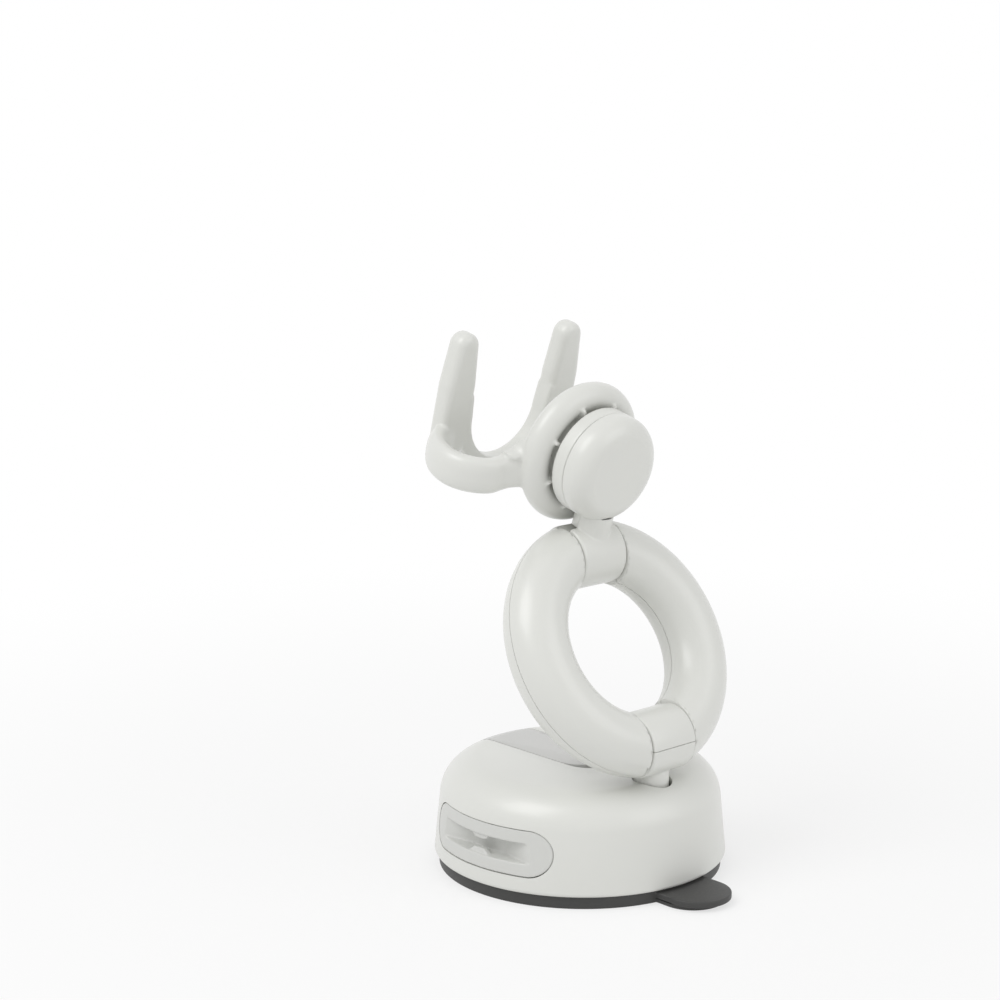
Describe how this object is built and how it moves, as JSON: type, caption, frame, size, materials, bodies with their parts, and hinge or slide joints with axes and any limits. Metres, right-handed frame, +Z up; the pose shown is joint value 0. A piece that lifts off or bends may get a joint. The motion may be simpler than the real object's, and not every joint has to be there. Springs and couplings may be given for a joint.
{
  "type": "dashboard phone mount",
  "caption": "Suction-base phone mount: low dome with a lever, hinged ring-shaped arm, round head and a spinning fork that takes the neck of a stick-on grip.",
  "frame": {"origin": "centre of the suction pad's lower face, on the base's axis", "axes": "+Z up out of the dashboard, both tilt hinges along X, -Y towards the phone and its user, +Y towards the head's cap and the pad's pull tab, cable clip on the +X side"},
  "size_m": [0.0658, 0.0764, 0.1201],
  "materials": {
    "white": "warm off-white moulded plastic with a fine satin grain",
    "lever": "light grey moulded plastic, one shade darker than the shell",
    "clip": "pale grey soft plastic, matt",
    "pad": "dark grey soft pad with a sticky, slightly glossy face",
    "inner": "plain moulded plastic, hidden under the shell",
    "steel": "zinc-plated steel"
  },
  "bodies": {
    "base": {"suction_pad": "pad", "base_plate": "inner", "base_shell": "white", "cable_clip": "clip", "shell_screws": "steel", "stem_yoke": "white", "stem_cap": "white", "stem_screws": "steel", "release_spring": "steel"},
    "stud": {"pull_stud": "steel", "lever_pin": "steel"},
    "lever": {"suction_lever": "lever"},
    "ring": {"ring_left_front": "white", "ring_left_back": "white", "ring_right_front": "white", "ring_right_back": "white", "ring_screws": "steel", "lower_hinge_pin": "steel", "upper_hinge_pin": "steel", "lower_wave_washers": "steel", "upper_wave_washers": "steel"},
    "head": {"head_collar": "white", "head_cap": "white", "neck_cover": "white", "spindle_screw": "steel", "spindle_washer": "steel", "spindle_nut": "steel"},
    "fork": {"fork": "white", "hub_cover": "white"}
  },
  "joints": [
    {"name": "stud_pull", "type": "slide", "parent": "base", "child": "stud", "axis": [0, 0, -1], "range_m": [0, 0.0017], "deforming": ["release_spring"]},
    {"name": "lever_lift", "type": "hinge", "parent": "stud", "child": "lever", "pos_m": [0, 0, 0.0185], "axis": [-1, 0, 0], "range_deg": [0, 50]},
    {"name": "ring_tilt", "type": "hinge", "parent": "base", "child": "ring", "pos_m": [0, 0.022, 0.03275], "axis": [1, 0, 0], "range_deg": [-45, 30]},
    {"name": "head_tilt", "type": "hinge", "parent": "ring", "child": "head", "pos_m": [0, 0.0006, 0.07074], "axis": [1, 0, 0], "range_deg": [-35, 40]},
    {"name": "fork_spin", "type": "hinge", "parent": "head", "child": "fork", "pos_m": [0, 0.0031, 0.0925], "axis": [0, -0.9668, 0.2554], "continuous": true}
  ],
  "couplings": [
    {"joint": "stud_pull", "follows": "lever_lift", "m_per_rad": 0.001908}
  ]
}
